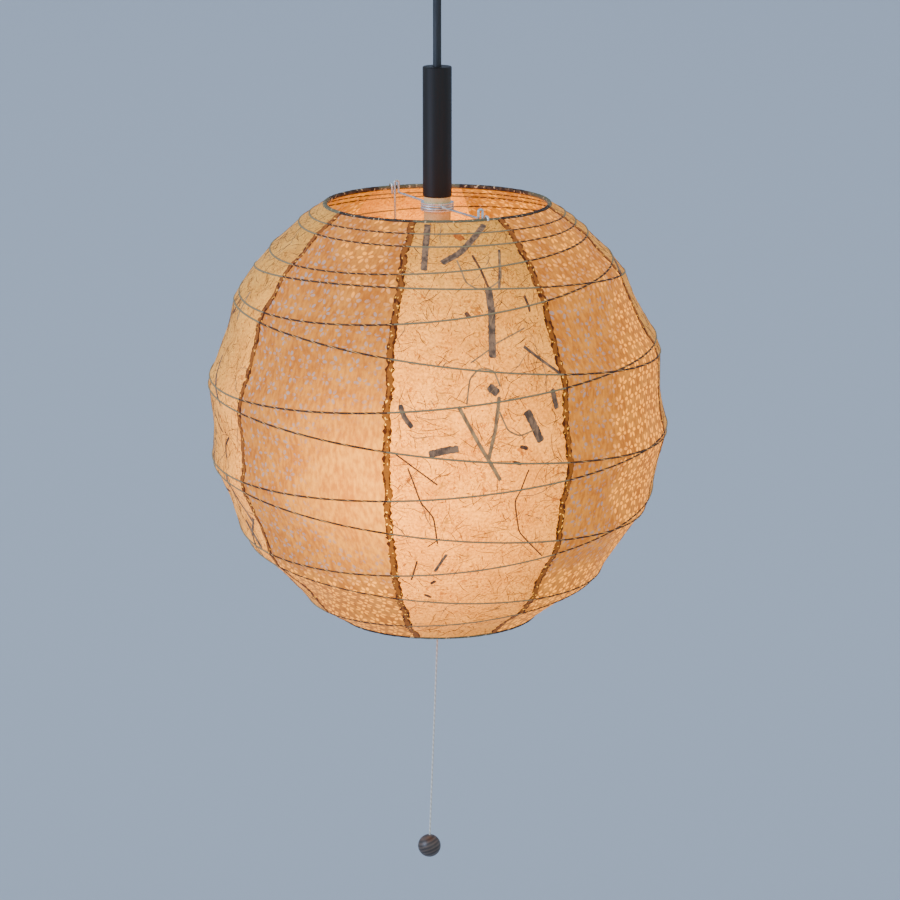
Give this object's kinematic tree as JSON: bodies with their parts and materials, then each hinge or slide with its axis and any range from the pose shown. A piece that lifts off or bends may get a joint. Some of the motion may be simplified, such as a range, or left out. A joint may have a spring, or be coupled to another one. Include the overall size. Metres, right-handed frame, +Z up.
{
  "type": "paper lantern pendant lamp",
  "caption": "Round paper lantern of alternating plain and perforated paper panels, hung by its cord, with a wire stretcher, bulb, pull-cord switch and bead.",
  "frame": {"origin": "centre of the ceiling strap's top face, on the lantern's axis", "axes": "+Z up along the lantern's axis, -Y to the front, +X to the right of someone facing it"},
  "size_m": [0.37, 0.37, 0.7612],
  "materials": {
    "zinc_plate": "zinc plated",
    "zinc_wire": "zinc plated wire",
    "spring_steel": "spring steel",
    "stained_resin": "moulded, satin",
    "stained_tube": "dark brown, brushed satin",
    "ivory_resin": "moulded ivory resin",
    "contact_brass": "satin",
    "cord_jacket": "matt jacket",
    "washi_cream": "kozo paper with bark and fibres",
    "washi_lace": "perforated kozo paper",
    "rib_wire": "paper-covered wire",
    "ring_wire": "dark coated wire",
    "pull_string": "braided cotton",
    "bead_wood": "dark stained, satin",
    "opal_glass": "opal",
    "cap_metal": "pressed screw cap",
    "emitter": "warm light source"
  },
  "bodies": {
    "ceiling": {"ceiling_strap": "zinc_plate", "canopy_cup": "stained_resin", "canopy_screws": "zinc_plate", "outlet_bush": "stained_resin", "bush_nut": "zinc_plate", "terminal_block": "ivory_resin", "terminal_screws": "contact_brass", "block_post": "zinc_plate", "cord_tail": "cord_jacket"},
    "pendant": {"power_cord": "cord_jacket", "switch_housing": "ivory_resin", "collar_nut": "ivory_resin", "washer_upper": "zinc_plate", "washer_lower": "zinc_plate", "neck_nut": "ivory_resin", "socket_disc": "ivory_resin", "socket_skirt": "ivory_resin", "screw_shell": "contact_brass", "centre_contact": "contact_brass", "lever_pin": "zinc_plate", "return_spring": "spring_steel", "switch_bracket": "zinc_plate", "contact_blades": "contact_brass", "cord_guide": "zinc_plate", "frame_leg_front": "zinc_wire", "frame_leg_rear": "zinc_wire", "ring_clips": "zinc_wire", "bottom_ring": "ring_wire", "panel_cream_1": "washi_cream", "panel_cream_2": "washi_cream", "panel_cream_3": "washi_cream", "panel_cream_4": "washi_cream", "panel_lace_1": "washi_lace", "panel_lace_2": "washi_lace", "panel_lace_3": "washi_lace", "panel_lace_4": "washi_lace", "rib_01": "rib_wire", "rib_02": "rib_wire", "rib_03": "rib_wire", "rib_04": "rib_wire", "rib_05": "rib_wire", "rib_06": "rib_wire", "rib_07": "rib_wire", "rib_08": "rib_wire", "rib_09": "rib_wire", "rib_10": "rib_wire", "rib_11": "rib_wire", "rib_12": "rib_wire", "rib_13": "rib_wire"},
    "cover_tube": {"cover_tube": "stained_tube"},
    "top_ring": {"top_ring": "ring_wire"},
    "bulb": {"bulb_glass": "opal_glass", "bulb_cap": "cap_metal", "bulb_emitter": "emitter"},
    "switch_lever": {"switch_lever": "ivory_resin"},
    "pull_ferrule": {"pull_ferrule": "contact_brass"},
    "pull_cord": {"pull_cord": "pull_string", "pull_bead": "bead_wood", "pull_knot": "pull_string"}
  },
  "joints": [
    {"name": "lamp_swing", "type": "hinge", "parent": "ceiling", "child": "pendant", "pos_m": [0, 0, -0.036], "axis": [0, 1, 0], "range_deg": [-12, 12]},
    {"name": "tube_lift", "type": "slide", "parent": "pendant", "child": "cover_tube", "axis": [0, 0, 1], "range_m": [0, 0.055]},
    {"name": "shade_fold", "type": "slide", "parent": "pendant", "child": "top_ring", "axis": [0, 0, -1], "range_m": [0, 0.26], "deforming": ["panel_cream_1", "panel_cream_2", "panel_cream_3", "panel_cream_4", "panel_lace_1", "panel_lace_2", "panel_lace_3", "panel_lace_4", "rib_01", "rib_02", "rib_03", "rib_04", "rib_05", "rib_06", "rib_07", "rib_08", "rib_09", "rib_10", "rib_11", "rib_12", "rib_13"]},
    {"name": "bulb_release", "type": "slide", "parent": "pendant", "child": "bulb", "axis": [0, 0, -1], "range_m": [0, 0.2]},
    {"name": "pull_slide", "type": "slide", "parent": "pendant", "child": "pull_ferrule", "axis": [0, 0, -1], "range_m": [0, 0.008], "stiffness_N_per_m": 200, "springref_m": -0.005},
    {"name": "lever_turn", "type": "hinge", "parent": "pendant", "child": "switch_lever", "pos_m": [-0.00205, 0.00669, -0.263], "axis": [0.9563, 0.2924, 0], "range_deg": [0, 34]},
    {"name": "pull_swing", "type": "hinge", "parent": "pull_ferrule", "child": "pull_cord", "pos_m": [0.01052, -0.03443, -0.2865], "axis": [0, 1, 0], "range_deg": [-8, 8]}
  ],
  "couplings": [
    {"joint": "lever_turn", "follows": "pull_slide", "rad_per_m": 72}
  ]
}
